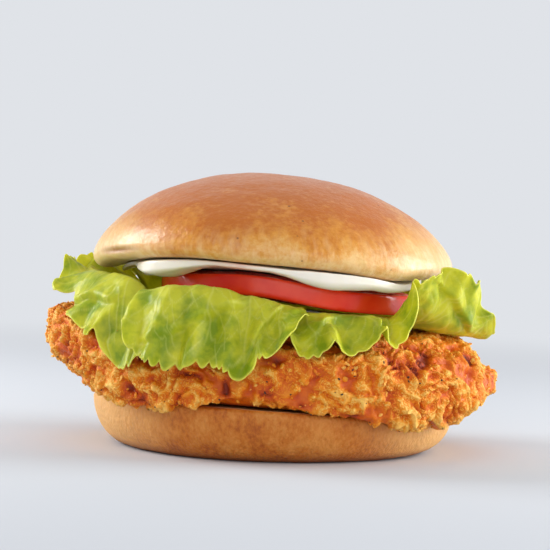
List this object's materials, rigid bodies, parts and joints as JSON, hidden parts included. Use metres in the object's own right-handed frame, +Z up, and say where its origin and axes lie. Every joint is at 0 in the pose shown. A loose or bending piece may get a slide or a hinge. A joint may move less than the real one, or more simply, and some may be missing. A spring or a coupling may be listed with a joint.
{
  "type": "chicken burger",
  "caption": "Crispy fried chicken fillet with torn lettuce, a tomato slice and mayonnaise in a round split bun.",
  "frame": {"origin": "middle of the flat base that the bun heel rests on", "axes": "+Z up through the stack, +X along the long side of the fillet to the right of its shown front, -Y towards that front"},
  "size_m": [0.1364, 0.126, 0.0839],
  "materials": {
    "crown_crust": "egg-washed baked crust, browner at the top, semi-gloss",
    "heel_crust": "baked bun base, matt, with fine pores",
    "fried_crust": "craggy deep-fried crust, golden ridges and red-orange hollows",
    "lettuce": "fresh green leaf, satin, with paler veins",
    "tomato": "wet tomato skin and flesh, glossy",
    "mayonnaise": "thick off-white mayonnaise, glossy"
  },
  "bodies": {
    "root": {"bun_crown": "crown_crust", "bun_heel": "heel_crust", "chicken_fillet": "fried_crust", "tomato_slice": "tomato", "mayonnaise": "mayonnaise", "lettuce_left": "lettuce", "lettuce_right": "lettuce", "lettuce_back": "lettuce", "lettuce_front": "lettuce"}
  },
  "joints": []
}
